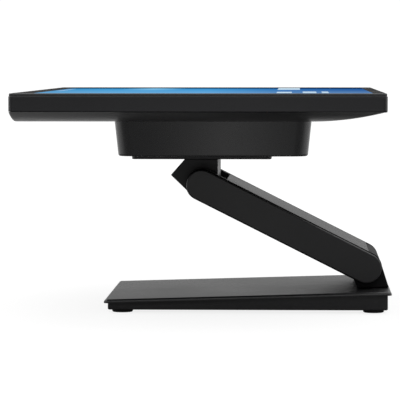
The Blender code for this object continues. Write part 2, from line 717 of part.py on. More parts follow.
def make_power_inlet(parent):
    middle = (INLET_X, INLET_Z)
    sizes = [(INLET_OUTER, SOCKET_BACK), (INLET_OUTER, SOCKET_MOUTH), (INLET_BORE, SOCKET_MOUTH),
             (INLET_BORE, SOCKET_BACK - 0.001)]
    rings = [[(x, y, z) for x, z in circle(radius, middle, SMALL_ROUND)] for radius, y in sizes]
    skinned("power_inlet", rings, BLACK_PLASTIC, parent)


def make_fin_stack(parent):
    """A comb of thin fins under a plate, in the blower's outlet."""
    x, low, high, plate, fin, count = 0.0822, 0.1268, 0.1346, 0.0008, 0.0007, 16
    pitch = (0.0516 - fin) / (count - 1)
    outline = [(x + pitch * (count - 1) + fin, high), (x, high)]
    for i in range(count):
        left, right = x + pitch * i, x + pitch * i + fin
        outline += [(left, high - plate)] * (i > 0) + [(left, low), (right, low)]
        outline += [(right, high - plate)] * (i < count - 1)
    rings = [[(x, y, z) for x, z in outline] for y in (0.0425, 0.0690)]
    skinned("fin_stack", rings, ALUMINIUM, parent)


def make_blower(parent, rotor_parent):
    """A flat housing with an inlet below and an outlet to the back, and the rotor in it."""
    x, y = BLOWER
    housing = block("blower_housing", (x - 0.0275, x + 0.0275), (y - 0.028, 0.040), (BLOWER_LOW, BLOWER_HIGH),
                    BLACK_PLASTIC, parent)
    floor, roof = BLOWER_LOW + 0.0014, BLOWER_HIGH - 0.0014
    cavity = slab("blower_cavity", circle(BLOWER_CAVITY, BLOWER), floor, roof, HELPER, None)
    outlet = box_cutters("blower_outlet", [((x - 0.0255, x + 0.0255), (y, 0.042), (floor, roof))])
    inlet = slab("blower_inlet", circle(0.017, BLOWER), BLOWER_LOW - GAP, roof, HELPER, None)
    pivot = slab("blower_pivot_way", circle(0.0017, BLOWER, SMALL_ROUND), roof - GAP, BLOWER_HIGH + GAP,
                 HELPER, None)
    for cutter in (cavity, outlet, inlet, pivot):
        cut(housing, cutter)

    hub, tip, blades, half_turn = 0.010, 0.0235, 11, 3.0
    outline = []
    for i in range(blades):
        turn = 360 * i / blades
        outline += arc(BLOWER, hub, turn - 360 / blades + 3 * half_turn, turn - 3 * half_turn, 2)
        outline += [arc(BLOWER, tip, turn + 8 - half_turn, turn + 8 + half_turn, 1)[end] for end in (0, 1)]
    rotor = slab("blower_rotor", outline, floor + 0.0005, roof - 0.0008, BLACK_PLASTIC, rotor_parent)
    pin = slab("blower_pin", circle(0.0014, BLOWER, SMALL_ROUND), floor + 0.002, BLOWER_HIGH - GAP, HELPER, None)
    join(rotor, pin, "UNION")


def make_computer(parent, rotor_parent):
    """The board with what hangs under it, the sockets, the cooling and the speakers."""
    under = BOARD_BOTTOM - GAP
    block("main_board", *MAIN_BOARD, (BOARD_BOTTOM, BOARD_TOP), CIRCUIT_BOARD, parent)
    hung = (("processor", PROCESSOR, PANEL_BLACK), ("cold_plate", COLD_PLATE, COPPER),
            ("memory_module", MEMORY_MODULE, CIRCUIT_BOARD), ("ssd_module", SSD_MODULE, CIRCUIT_BOARD))
    for name, (x_span, y_span, drop, thickness), kind in hung:
        block(name, x_span, y_span, (under - drop - thickness, under - drop), kind, parent)
    for name in SOCKETS:
        make_socket = make_usb_stack if name.startswith("usb") else make_single_socket
        make_socket(name, parent)
    make_power_inlet(parent)
    make_fin_stack(parent)
    make_blower(parent, rotor_parent)
    pipe_top = under - PIPE_DROP
    path = [(0.008, 0.004), *arc((0.060, 0.016), 0.012, -90, 0, 4), *arc((0.084, 0.045), 0.012, 180, 90, 4),
            (0.133, 0.057)]
    slab("heat_pipe", ribbon(path, PIPE_HALF_WIDTH), pipe_top - PIPE_THICKNESS, pipe_top, COPPER, parent)
    floor = BULGE_BOTTOM + SHELL + GAP
    for side, sign in (("left", -1), ("right", 1)):
        block(f"speaker_{side}", side_span(*SPEAKER_X, sign), SPEAKER_Y, (floor, floor + SPEAKER_HEIGHT),
              BLACK_PLASTIC, parent)


def main():
    arm = axis_empty("arm_axis", (0, *ARM_AXIS))
    tilt_shaft = axis_empty("tilt_shaft_axis", (0, *TILT_AXIS), arm)
    head = axis_empty("head_axis", (0, *TILT_AXIS), tilt_shaft)
    button = axis_empty("power_button_axis", (BUTTON_X, HEAD_FRONT, BUTTON_Z), head)
    rotor = axis_empty("blower_axis", (*BLOWER, BLOWER_LOW), head)
    make_base()
    make_arm(arm)
    make_tilt_shaft(tilt_shaft)
    make_cover_glass(head)
    make_gasket(head)
    make_side_frame(head)
    make_rear_cover(head)
    make_mount(make_housing(head), head)
    make_neck(head)
    make_panel(head)
    make_computer(head, rotor)
    make_power_button(button)


main()
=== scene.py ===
"""The looks of the all-in-one touch PC: finer surfaces, real materials, floor, lights and camera.

Everything is in metres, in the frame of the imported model: the user sits at -Y and +Z is up.
"""

import json
from math import acos, atan2, cos, degrees, hypot, radians, sin, sqrt

import bmesh
import bpy
from mathutils import Matrix, Vector


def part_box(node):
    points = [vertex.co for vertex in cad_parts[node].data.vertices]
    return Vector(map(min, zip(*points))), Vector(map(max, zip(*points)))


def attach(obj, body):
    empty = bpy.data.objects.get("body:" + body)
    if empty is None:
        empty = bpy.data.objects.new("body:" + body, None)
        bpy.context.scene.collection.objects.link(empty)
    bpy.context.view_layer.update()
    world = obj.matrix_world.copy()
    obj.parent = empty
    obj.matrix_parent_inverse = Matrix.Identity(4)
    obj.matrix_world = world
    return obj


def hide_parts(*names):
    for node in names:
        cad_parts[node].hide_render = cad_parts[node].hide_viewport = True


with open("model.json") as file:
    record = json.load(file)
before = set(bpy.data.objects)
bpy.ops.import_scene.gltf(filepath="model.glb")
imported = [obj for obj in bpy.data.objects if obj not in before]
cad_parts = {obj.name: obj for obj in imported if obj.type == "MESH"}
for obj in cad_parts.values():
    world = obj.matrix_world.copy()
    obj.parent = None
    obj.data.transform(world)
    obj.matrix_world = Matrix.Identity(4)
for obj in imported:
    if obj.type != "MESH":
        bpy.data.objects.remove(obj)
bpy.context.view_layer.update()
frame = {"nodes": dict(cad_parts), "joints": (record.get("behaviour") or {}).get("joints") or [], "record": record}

RECORD = frame["record"]
BODY_OF = {node: body for body, nodes in RECORD["behaviour"]["bodies"].items() for node in nodes}
PIVOT = {joint["name"]: joint["pos_m"] for joint in frame["joints"] if joint.get("pos_m")}
TILT_AXIS = tuple(PIVOT["head_tilt"][1:])
ARM_AXIS = tuple(PIVOT["arm_lift"][1:])

GAP = 0.0003                    # between neighbouring pieces
SHELL = 0.002                   # wall of the thin casings
SHAFT_ROOM = 0.0001             # radial, round a shaft or a screw's shank
PAST_FACE = 0.001               # how far a cutter runs out of a piece
EASED_ANGLE, SHARP_ANGLE = 30, 33       # degrees: edges above them are rounded, or shaded as sharp


# ---- mesh tools --------------------------------------------------------------------------------
def arc(middle, radius, start, end, steps):
    """Points round a middle from one angle to another, in degrees."""
    turns = [radians(start + (end - start) * i / steps) for i in range(steps + 1)]
    return [(middle[0] + radius * cos(t), middle[1] + radius * sin(t)) for t in turns]


def circle(radius, middle=(0.0, 0.0), sides=48):
    return arc(middle, radius, 0, 360, sides)[:-1]


def rounded(x_span, y_span, corner, steps=8, straight=1):
    """Outline of a rectangle with round corners, anticlockwise. straight says in how many parts each
    side between them is divided."""
    x0, x1, y0, y1 = x_span[0] + corner, x_span[1] - corner, y_span[0] + corner, y_span[1] - corner
    places = (((x1, y0), -90), ((x1, y1), 0), ((x0, y1), 90), ((x0, y0), 180))
    corners = [arc(middle, corner, turn, turn + 90, steps) for middle, turn in places]
    outline = []
    for i, points in enumerate(corners):
        outline += points
        start, end = Vector(points[-1]), Vector(corners[(i + 1) % 4][0])
        outline += [tuple(start.lerp(end, part / straight)) for part in range(1, straight)]
    return outline


def tangent_angle(middle, radius, point, side):
    """Where the line from a point touches a circle, in degrees. side is 1 or -1."""
    y, z = point[0] - middle[0], point[1] - middle[1]
    return degrees(atan2(z, y) + side * acos(radius / hypot(y, z)))


def quarter(steps):
    """(1 - cos, 1 - sin) at even steps over a quarter turn, for rounding an edge by hand."""
    turns = [radians(90 * i / steps) for i in range(steps + 1)]
    return [(1 - cos(t), 1 - sin(t)) for t in turns]


def level(outline, z):
    return [(x, y, z) for x, y in outline]


def new_object(name, work):
    mesh = bpy.data.meshes.new(name)
    bmesh.ops.recalc_face_normals(work, faces=work.faces)
    work.to_mesh(mesh)
    work.free()
    made = bpy.data.objects.new(name, mesh)
    bpy.context.scene.collection.objects.link(made)
    return made


def skinned(name, rings, closed=False):
    """Skins a row of point rings of equal length. An open row is capped; a closed one meets itself."""
    work = bmesh.new()
    loops = [[work.verts.new(point) for point in ring] for ring in rings]
    pairs = list(zip(loops, loops[1:]))
    if closed:
        pairs.append((loops[-1], loops[0]))
    else:
        work.faces.new(loops[0])
        work.faces.new(loops[-1])
    for one, other in pairs:
        for i in range(len(one)):
            j = (i + 1) % len(one)
            work.faces.new((one[i], one[j], other[j], other[i]))
    return new_object(name, work)


def slab(name, outline, low, high):
    return skinned(name, [level(outline, low), level(outline, high)])


def block(name, x, y, z):
    return slab(name, [(x[0], y[0]), (x[1], y[0]), (x[1], y[1]), (x[0], y[1])], z[0], z[1])


def across(name, outline, x_span):
    """A Y-Z outline carried along X."""
    return skinned(name, [[(x, y, z) for y, z in outline] for x in x_span])


def along_y(name, outline, y_span):
    """An X-Z outline carried along Y."""
    return skinned(name, [[(x, y, z) for x, z in outline] for y in y_span])


def turned(name, middle, profile, sides=48):
    """A solid of revolution on a vertical axis, from (radius, height) pairs."""
    return skinned(name, [level(circle(radius, middle, sides), z) for radius, z in profile])


def many_blocks(name, spans):
    """One mesh of separate plain boxes, each given by its x, y and z spans."""
    work = bmesh.new()
    for x, y, z in spans:
        size = Vector((x[1] - x[0], y[1] - y[0], z[1] - z[0]))
        middle = Vector((x[0] + x[1], y[0] + y[1], z[0] + z[1])) / 2
        place = Matrix.Translation(middle) @ Matrix.Diagonal((*size, 1))
        bmesh.ops.create_cube(work, size=1.0, matrix=place)
    return new_object(name, work)


def baked(target):
    """Turns an object's modifiers into plain mesh."""
    bpy.context.view_layer.update()
    graph = bpy.context.evaluated_depsgraph_get()
    mesh = bpy.data.meshes.new_from_object(target.evaluated_get(graph))
    target.modifiers.clear()
    target.data = mesh
    return target


def carved(target, cutters):
    """Cuts helper solids out of a piece and removes the helpers."""
    for cutter in cutters:
        change = target.modifiers.new(cutter.name, "BOOLEAN")
        change.operation = "DIFFERENCE"
        change.solver = "EXACT"
        change.object = cutter
    baked(target)
    for cutter in cutters:
        bpy.data.objects.remove(cutter, do_unlink=True)
    return target


def eased(target, width, segments=3):
    """Rounds the sharp edges of a piece."""
    change = target.modifiers.new("edges", "BEVEL")
    change.width = width
    change.segments = segments
    change.limit_method = "ANGLE"
    change.angle_limit = radians(EASED_ANGLE)
    change.use_clamp_overlap = True
    return baked(target)


def shaft_way(target, radius, axis, x_span):
    """The round way for a hinge shaft, a little wider than the shaft."""
    carved(target, [across("shaft_way", circle(radius + SHAFT_ROOM, axis), x_span)])


def finished(target, material):
    """Gives a piece its material, and smooth shading that keeps flat faces flat."""
    target.data.materials.clear()
    target.data.materials.append(material)
    for face in target.data.polygons:
        face.material_index = 0
    target.data.shade_smooth()
    target.data.set_sharp_from_angle(angle=radians(SHARP_ANGLE))
    weights = target.modifiers.new("flat faces stay flat", "WEIGHTED_NORMAL")
    weights.keep_sharp = True
    return target


def stands_for(target, *nodes):
    """Shows a piece instead of CAD nodes, on the body of the first."""
    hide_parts(*nodes)
    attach(target, BODY_OF[nodes[0]])
    return target


def belongs(target, body):
    """Puts a small extra piece on a body."""
    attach(target, body)
    return target


def span(node, axis):
    """A CAD node's lowest and highest value along X (0), Y (1) or Z (2)."""
    low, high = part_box(node)
    return low[axis], high[axis]


def spans(node):
    return [span(node, axis) for axis in range(3)]


def x_and_y(node):
    return span(node, 0), span(node, 1)


def x_and_z(node):
    return span(node, 0), span(node, 2)


def middle_of(node):
    """The X and Y of a CAD node's middle."""
    (x0, x1), (y0, y1) = x_and_y(node)
    return (x0 + x1) / 2, (y0 + y1) / 2


def radius_of(shaft):
    low, high = span(shaft, 1)
    return (high - low) / 2


# ---- material tools ----------------------------------------------------------------------------
def add(tree, kind, values=None, **settings):
    """A shader node. values sets or links its inputs."""
    made = tree.nodes.new("ShaderNode" + kind)
    for key, value in settings.items():
        setattr(made, key, value)
    for key, value in (values or {}).items():
        if isinstance(value, bpy.types.NodeSocket):
            tree.links.new(value, made.inputs[key])
        else:
            made.inputs[key].default_value = value
    return made


def math(tree, operation, a, b=0.0):
    return add(tree, "Math", {0: a, 1: b}, operation=operation).outputs[0]


def remap(tree, value, low, high, to_low, to_high):
    values = {"Value": value, "From Min": low, "From Max": high, "To Min": to_low, "To Max": to_high}
    return add(tree, "MapRange", values).outputs[0]


def blended(tree, share, one, other):
    """One colour where share is 0, the other where it is 1."""
    made = add(tree, "Mix", data_type="RGBA", blend_type="MIX")
    for index, value in ((0, share), (6, one), (7, other)):
        if isinstance(value, bpy.types.NodeSocket):
            tree.links.new(value, made.inputs[index])
        else:
            is_colour = index and len(value) == 3
            made.inputs[index].default_value = (*value, 1.0) if is_colour else value
    return made.outputs[2]


def start_material(name):
    made = bpy.data.materials.new(name)
    made.use_nodes = True
    tree = made.node_tree
    shader = tree.nodes["Principled BSDF"]
    coords = add(tree, "TexCoord").outputs["Object"]
    return made, tree, shader, coords


def noise(tree, coords, size, detail=2.0, roughness=0.5):
    """Noise with features about size metres across."""
    values = {"Vector": coords, "Scale": 1 / size, "Detail": detail, "Roughness": roughness}
    return add(tree, "TexNoise", values).outputs["Fac"]


def satin(name, colour, roughness, grain=0.0007, depth=0.00002, wear=0.25, specular=0.5):
    """Moulded plastic or powder coat: fine grain, faint clouding, slightly paler worn edges."""
    made, tree, shader, coords = start_material(name)
    cloud = noise(tree, coords, 0.06, 3.0)
    fine = noise(tree, coords, grain, 2.0)
    speck = noise(tree, coords, grain * 4, 3.0, 0.6)
    dark, light = [c * 0.88 for c in colour], [c * 1.14 for c in colour]
    tone = blended(tree, cloud, dark, light)
    edge = remap(tree, add(tree, "NewGeometry").outputs["Pointiness"], 0.53, 0.62, 0.0, wear)
    rub = math(tree, "MULTIPLY", edge, remap(tree, speck, 0.35, 0.65, 0.2, 1.0))
    tone = blended(tree, rub, tone, [min(1.0, c * 2.6 + 0.012) for c in colour])
    tree.links.new(tone, shader.inputs["Base Color"])
    rough = math(tree, "ADD", remap(tree, cloud, 0.3, 0.7, roughness - 0.025, roughness + 0.025),
                 remap(tree, fine, 0.3, 0.7, -0.02, 0.02))
    tree.links.new(rough, shader.inputs["Roughness"])
    bump = add(tree, "Bump", {"Height": fine, "Strength": 0.35, "Distance": depth})
    tree.links.new(bump.outputs[0], shader.inputs["Normal"])
    shader.inputs["Specular IOR Level"].default_value = specular
    return made


def metal(name, colour, roughness, stretch=(1, 1, 30)):
    """Bare metal with a drawn or brushed grain."""
    made, tree, shader, coords = start_material(name)
    mapped = add(tree, "Mapping", {"Vector": coords, "Scale": stretch}).outputs[0]
    lines = noise(tree, mapped, 0.004, 4.0, 0.7)
    cloud = noise(tree, coords, 0.02, 2.0)
    tone = blended(tree, cloud, [c * 0.85 for c in colour], colour)
    tree.links.new(tone, shader.inputs["Base Color"])
    rough = remap(tree, lines, 0.3, 0.7, roughness - 0.06, roughness + 0.08)
    tree.links.new(rough, shader.inputs["Roughness"])
    bump = add(tree, "Bump", {"Height": lines, "Strength": 0.15, "Distance": 0.00001})
    tree.links.new(bump.outputs[0], shader.inputs["Normal"])
    shader.inputs["Metallic"].default_value = 1.0
    return made


def rubber(name):
    made, tree, shader, coords = start_material(name)
    fine = noise(tree, coords, 0.0004, 3.0)
    dust = noise(tree, coords, 0.006, 4.0, 0.65)
    dusty = remap(tree, dust, 0.45, 0.75, 0.0, 0.5)
    tone = blended(tree, dusty, (0.014, 0.014, 0.014), (0.035, 0.034, 0.033))
    tree.links.new(tone, shader.inputs["Base Color"])
    tree.links.new(remap(tree, fine, 0.3, 0.7, 0.75, 0.95), shader.inputs["Roughness"])
    bump = add(tree, "Bump", {"Height": fine, "Strength": 0.4, "Distance": 0.00004})
    tree.links.new(bump.outputs[0], shader.inputs["Normal"])
    return made


def circuit_board(name):
    """Green solder mask with a faint pattern of tracks."""
    made, tree, shader, coords = start_material(name)
    values = {"Vector": coords, "Scale": 220.0, "Randomness": 0.3}
    cells = add(tree, "TexVoronoi", values, feature="DISTANCE_TO_EDGE").outputs[0]
    track = remap(tree, cells, 0.03, 0.06, 1.0, 0.0)
    tone = blended(tree, track, (0.010, 0.055, 0.028), (0.03, 0.13, 0.06))
    tree.links.new(tone, shader.inputs["Base Color"])
    tree.links.new(remap(tree, track, 0.0, 1.0, 0.45, 0.3), shader.inputs["Roughness"])
    return made


def border_glass(name):
    """Polished glass over a black print, with faint smears."""
    made, tree, shader, coords = start_material(name)
    smear = noise(tree, coords, 0.03, 4.0, 0.6)
    tone = blended(tree, smear, (0.004, 0.004, 0.005), (0.007, 0.007, 0.008))
    tree.links.new(tone, shader.inputs["Base Color"])
    tree.links.new(remap(tree, smear, 0.3, 0.8, 0.04, 0.08), shader.inputs["Roughness"])
    return made


def inside(tree, value, low, high, soft=0.0002):
    """1 where value lies between low and high, with edges soft metres wide."""
    up = remap(tree, value, low - soft, low + soft, 0.0, 1.0)
    down = remap(tree, value, high - soft, high + soft, 1.0, 0.0)
    return math(tree, "MULTIPLY", up, down)


def tile_row(tree, x, y, x_span, y_span, pitch, size):
    """A mask of equal tiles in a row along X, inside a window."""
    place = math(tree, "MODULO", math(tree, "SUBTRACT", x, x_span[0]), pitch)
    tiles = inside(tree, place, (pitch - size) / 2, (pitch + size) / 2)
    window = math(tree, "MULTIPLY", inside(tree, x, *x_span), inside(tree, y, *y_span))
    return math(tree, "MULTIPLY", tiles, window)


# The picture on the screen: stops from the bottom to the top, then the colours laid over them.
WALLPAPER = ((0.0, (0.050, 0.28, 0.56)), (0.18, (0.055, 0.33, 0.66)), (0.45, (0.050, 0.31, 0.66)),
             (0.72, (0.020, 0.14, 0.42)), (1.0, (0.014, 0.10, 0.34)))
NAVY, PALE, GLOW = (0.0005, 0.004, 0.016), (0.45, 0.72, 0.90), (0.30, 0.66, 0.92)
TILE, KEY = (0.72, 0.90, 1.0), (0.70, 0.85, 1.0)


def lit_panel(name, x_span, y_span):
    """The lit screen: a plain blue wallpaper with soft bands, and generic blank tiles."""
    made, tree, shader, coords = start_material(name)
    split = add(tree, "SeparateXYZ", {0: coords})
    x, y = split.outputs[0], split.outputs[1]
    up = remap(tree, y, *y_span, 0.0, 1.0)
    across_it = remap(tree, x, *x_span, 0.0, 1.0)
    # Light blue at the bottom, deep blue at the top, with wide soft bands that lean across it.
    sway = math(tree, "MULTIPLY", noise(tree, coords, 0.20, 1.0), 2.2)
    lean = math(tree, "ADD", math(tree, "MULTIPLY", x, 5.0), math(tree, "MULTIPLY", y, 17.0))
    band = remap(tree, math(tree, "SINE", math(tree, "ADD", lean, sway)), -1.0, 1.0, 0.0, 1.0)
    place = math(tree, "ADD", up, remap(tree, band, 0.0, 1.0, 0.05, -0.05))
    ramp = add(tree, "ValToRGB", {0: place})
    while len(ramp.color_ramp.elements) < len(WALLPAPER):
        ramp.color_ramp.elements.new(0.5)
    for element, (position, colour) in zip(ramp.color_ramp.elements, WALLPAPER):
        element.position = position
        element.color = (*colour, 1.0)
    # Deep navy along the left edge, paler towards the right.
    picture = blended(tree, remap(tree, across_it, 0.30, 0.16, 0.0, 1.0), ramp.outputs[0], NAVY)
    picture = blended(tree, remap(tree, across_it, 0.45, 1.0, 0.0, 0.22), picture, PALE)
    glow_x, glow_y = inside(tree, x, -0.150, -0.010, 0.050), inside(tree, y, -0.062, -0.040, 0.014)
    glow = math(tree, "MULTIPLY", glow_x, glow_y)
    picture = blended(tree, math(tree, "MULTIPLY", glow, 0.75), picture, GLOW)
    # Blank tiles: one row at the left and three at the right, and a row of keys along the bottom.
    top = y_span[1]
    masks = [
        tile_row(tree, x, y, (-0.180, -0.020), (top - 0.070, top - 0.052), 0.040, 0.034),
        tile_row(tree, x, y, (0.120, 0.200), (top - 0.069, top - 0.058), 0.040, 0.034),
        tile_row(tree, x, y, (0.100, 0.200), (top - 0.050, top - 0.040), 0.033, 0.028),
        tile_row(tree, x, y, (0.100, 0.200), (top - 0.036, top - 0.031), 0.033, 0.028),
    ]
    tiles = masks[0]
    for mask in masks[1:]:
        tiles = math(tree, "MAXIMUM", tiles, mask)
    picture = blended(tree, math(tree, "MULTIPLY", tiles, 0.85), picture, TILE)
    keys_y = (y_span[0] + 0.003, y_span[0] + 0.008)
    keys = tile_row(tree, x, y, (-0.070, 0.070), keys_y, 0.014, 0.005)
    picture = blended(tree, math(tree, "MULTIPLY", keys, 0.85), picture, KEY)
    tree.links.new(picture, shader.inputs["Emission Color"])
    shader.inputs["Emission Strength"].default_value = 1.0
    shader.inputs["Base Color"].default_value = (0.004, 0.004, 0.006, 1.0)
    shader.inputs["Specular IOR Level"].default_value = 0.0
    shader.inputs["Roughness"].default_value = 0.3
    return made


PLASTIC = satin("black_plastic", (0.0125, 0.0125, 0.0135), 0.36)
CASE_PLASTIC = satin("case_plastic", (0.0105, 0.0105, 0.0115), 0.28)
# Near black and dull, with no wear and little gloss: painted shadow, for the gap round each cheek cap.
SHADOW_BLACK = satin("painted_gap_shadow", (0.0025, 0.0025, 0.0025), 0.8, wear=0.0, specular=0.1)
CHEEK_PLASTIC = satin("cheek_plastic", (0.0165, 0.0165, 0.0175), 0.36)
ARM_PLASTIC = satin("arm_cover_plastic", (0.0135, 0.0135, 0.0142), 0.22)
COVER_PLASTIC = satin("cover_plastic", (0.0125, 0.0125, 0.0132), 0.32, grain=0.0009, depth=0.00003)
INNER_PLASTIC = satin("inner_plastic", (0.008, 0.008, 0.009), 0.55, wear=0.0)
COAT = satin("black_coat", (0.0115, 0.0115, 0.0125), 0.28, grain=0.0005)
# The hinge block's dark coat, made darker and duller than the same coat on the neck: painted shade for its place
# under the arm.
SHADED_HINGE_COAT = satin("hinge_coat_painted_shade", (0.003, 0.003, 0.0035), 0.6, grain=0.0005, specular=0.25)
DARK_COAT = satin("dark_coat", (0.006, 0.006, 0.007), 0.45, grain=0.0005)
FRAME_COAT = satin("frame_coat", (0.0125, 0.0125, 0.014), 0.34, grain=0.0004, depth=0.000012,
                   wear=0.35)
RUBBER = rubber("rubber")
SEAL = satin("black_seal", (0.016, 0.016, 0.017), 0.6, wear=0.0)
STEEL = metal("steel", (0.50, 0.50, 0.51), 0.34)
BLACK_STEEL = metal("black_steel", (0.05, 0.05, 0.053), 0.35)
NICKEL = metal("socket_metal", (0.66, 0.65, 0.63), 0.24, (1, 20, 1))
ALUMINIUM = metal("aluminium", (0.62, 0.63, 0.64), 0.38, (20, 1, 1))
COPPER = metal("copper", (0.72, 0.36, 0.22), 0.30, (20, 1, 1))
GOLD = metal("contact_gold", (0.86, 0.62, 0.26), 0.25, (1, 20, 1))
BOARD = circuit_board("circuit_board")
PANEL = satin("panel_black", (0.010, 0.010, 0.016), 0.2, wear=0.0)
WHITE = satin("white_plastic", (0.62, 0.62, 0.60), 0.5, wear=0.0)
CLEAR = satin("clear_plastic", (0.72, 0.76, 0.78), 0.15, wear=0.0)
BLUE = satin("socket_blue", (0.01, 0.06, 0.32), 0.42, wear=0.0)
GLASS = border_glass("border_glass")
GLASS_EDGE = satin("glass_edge", (0.030, 0.031, 0.033), 0.30, wear=0.0)


def dress(material, *nodes):
    """Gives carried-over CAD nodes a finer material."""
    for name in nodes:
        for slot in frame["nodes"][name].material_slots:
            slot.material = material


# ---- base and screws ---------------------------------------------------------------------------
LIP = 0.003                     # height of the base cover's flared edge
LIP_EASE = 0.0003
SKIN = 0.0016                   # thickness of the base cover
EDGE = 0.0022                   # width of the rounding of its edge
COVER_CORNER, TRAY_CORNER = 0.0034, 0.0012
FOOT_DOME = 0.0012
BLOCK_SCREWS = ("hinge_block_screw_left", "hinge_block_screw_right")
VESA_SCREWS = tuple(f"vesa_screw_{i}" for i in range(1, 5))
# A screw's measures, as shares of its head's radius, and two more as shares of the head's height.
SHANK, HEAD_HEIGHT, CROSS_LENGTH, CROSS_WIDTH = 0.53, 0.58, 0.56, 0.13
DOME_HEIGHT, CROSS_DEPTH = 0.45, 0.75


def base_slope():
    """The base cover's top height as a function of Y, from the cover's own corners."""
    points = [v.co for v in frame["nodes"]["base_cover"].data.vertices]
    front, rear = min(p.y for p in points), max(p.y for p in points)
    top_front = max(p.z for p in points if p.y < front + 0.004)
    top_rear = max(p.z for p in points if p.y > rear - 0.004)
    rise = (top_rear - top_front) / (rear - front - 2 * EDGE)
    return lambda y: top_front + rise * (y - front - EDGE)


base_top = base_slope()


def sloped(outline, below):
    return [(x, y, base_top(y) - below) for x, y in outline]


def base_outline(inset):
    corner = max(COVER_CORNER - inset, 0.001)
    (x0, x1), (y0, y1) = x_and_y("base_cover")
    return rounded((x0 + inset, x1 - inset), (y0 + inset, y1 - inset), corner)


def make_base():
    rim = LIP - 0.0001
    underside = base_outline(SKIN)
    rings = [sloped(underside, SKIN), sloped(underside, rim), sloped(base_outline(LIP_EASE), rim)]
    rings += [sloped(base_outline(EDGE * side), (LIP - LIP_EASE) * down) for side, down in quarter(8)]
    cover = skinned("base_top_plate", rings)
    carved(cover, screw_ways(*BLOCK_SCREWS))
    stands_for(finished(cover, COAT), "base_cover")

    (x0, x1), (y0, y1), (z0, _) = spans("base_tray")

    def tray_outline(inset):
        return rounded((x0 + inset, x1 - inset), (y0 + inset, y1 - inset), TRAY_CORNER, 4)

    ease, top = 0.0007, SKIN + GAP
    outer, inner = tray_outline(0), tray_outline(SHELL)
    rings = [level(tray_outline(ease), z0), level(outer, z0 + ease), sloped(outer, top),
             sloped(inner, top), level(inner, z0 + SHELL)]
    tray = skinned("base_underside", rings)
    mouth, hole, chamfer, way_top = 0.0056, 0.0048, 0.0006, 0.009
    profile = [(mouth, 0.0), (hole, z0 + chamfer), (hole, way_top)]
    carved(tray, [turned("way_" + node, middle_of(node), profile) for node in BLOCK_SCREWS])
    stands_for(finished(tray, PLASTIC), "base_tray")
    for row in ("front", "rear"):
        for side in ("left", "right"):
            make_foot(f"foot_{row}_{side}")
    for node in BLOCK_SCREWS:
        make_screw(node, STEEL)
    make_hinge_block()


def make_foot(node):
    """A rubber pad with a domed edge and a ring groove underneath."""
    radius, (low, high) = radius_of(node), span(node, 2)
    profile = [(radius, high)]
    profile += [(radius - FOOT_DOME * side, low + FOOT_DOME * down) for side, down in quarter(6)]
    groove, half_width, half_floor, deep = radius * 0.55, 0.0006, 0.0003, 0.0005
    profile += [(groove + half_width, low), (groove + half_floor, low + deep),
                (groove - half_floor, low + deep), (groove - half_width, low)]
    pad = turned("pad_" + node, middle_of(node), profile)
    stands_for(finished(pad, RUBBER), node)


def make_screw(node, material):
    """A domed screw head that faces down, with a cross recess, on its shank."""
    (x0, x1), (low, high) = x_and_z(node)
    (x, y), radius = middle_of(node), (x1 - x0) / 2
    head, shank = radius * HEAD_HEIGHT, radius * SHANK
    dome = head * DOME_HEIGHT
    profile = [(shank, high), (shank, low + head), (radius, low + head), (radius, low + dome)]
    turns = [radians(18 * i) for i in (1, 2, 3, 4)]
    profile += [(radius * cos(t), low + dome * (1 - sin(t))) for t in turns]
    made = turned("screw_" + node, (x, y), profile, 32)
    long, thin = radius * CROSS_LENGTH, radius * CROSS_WIDTH
    depth = (low - PAST_FACE, low + head * CROSS_DEPTH)
    carved(made, [many_blocks("cross_a_" + node, [((x - long, x + long), (y - thin, y + thin), depth)]),
                  many_blocks("cross_b_" + node, [((x - thin, x + thin), (y - long, y + long), depth)])])
    stands_for(finished(made, material), node)


def screw_ways(*nodes):
    """Cutters for the ways of the screws' shanks, a little wider than the shanks."""
    cutters = []
    for node in nodes:
        (x0, x1), (low, high) = x_and_z(node)
        way = circle((x1 - x0) / 2 * SHANK + SHAFT_ROOM, middle_of(node), 32)
        cutters.append(slab("way_" + node, way, low, high + PAST_FACE))
    return cutters


def make_hinge_block():
    (x0, x1), (_, y1), (low, high) = spans("arm_hinge_block")
    radius = high - ARM_AXIS[1]
    rear = (y1, base_top(y1) + GAP)
    points = [v.co for v in frame["nodes"]["arm_hinge_block"].data.vertices]
    front_y = min(p.y for p in points if p.z < low + 0.002)
    front = (front_y, base_top(front_y) + GAP)
    start = tangent_angle(ARM_AXIS, radius, rear, 1)
    end = tangent_angle(ARM_AXIS, radius, front, -1) % 360
    outline = [front, rear, *arc(ARM_AXIS, radius, start, end, 40)]
    made = across("lower_hinge_block", outline, (x0, x1))
    eased(made, 0.0008)
    shaft_way(made, radius_of("arm_hinge_shaft"), ARM_AXIS, (x0 - PAST_FACE, x1 + PAST_FACE))
    carved(made, screw_ways(*BLOCK_SCREWS))
    # Its coat is partly painted shade: darker than the neck's, for the shade under the arm.
    stands_for(finished(made, SHADED_HINGE_COAT), "arm_hinge_block")


# ---- arm ---------------------------------------------------------------------------------------
CAP_THICKNESS = 0.0034          # the cheek's outer cap, set in a little from its black core, whose rim shows round it as a painted shadow gap
CAP_INSET, CAP_JOINT = 0.0006, 0.0001
BEARING_REACH = 0.0152          # from the upper pivot down the arm
ARM_RUN = (ARM_AXIS[0] - TILT_AXIS[0], ARM_AXIS[1] - TILT_AXIS[1])
ARM_LENGTH = hypot(*ARM_RUN)
ALONG = (ARM_RUN[0] / ARM_LENGTH, ARM_RUN[1] / ARM_LENGTH)
ARM_RADIUS = TILT_AXIS[0] - span("arm_cheek_right", 1)[0]


def in_arm(points):
    """From (distance down the arm from the upper pivot, height over its centre line) to (Y, Z)."""
    return [
        (TILT_AXIS[0] + s * ALONG[0] - n * ALONG[1], TILT_AXIS[1] + s * ALONG[1] + n * ALONG[0])
        for s, n in points
    ]


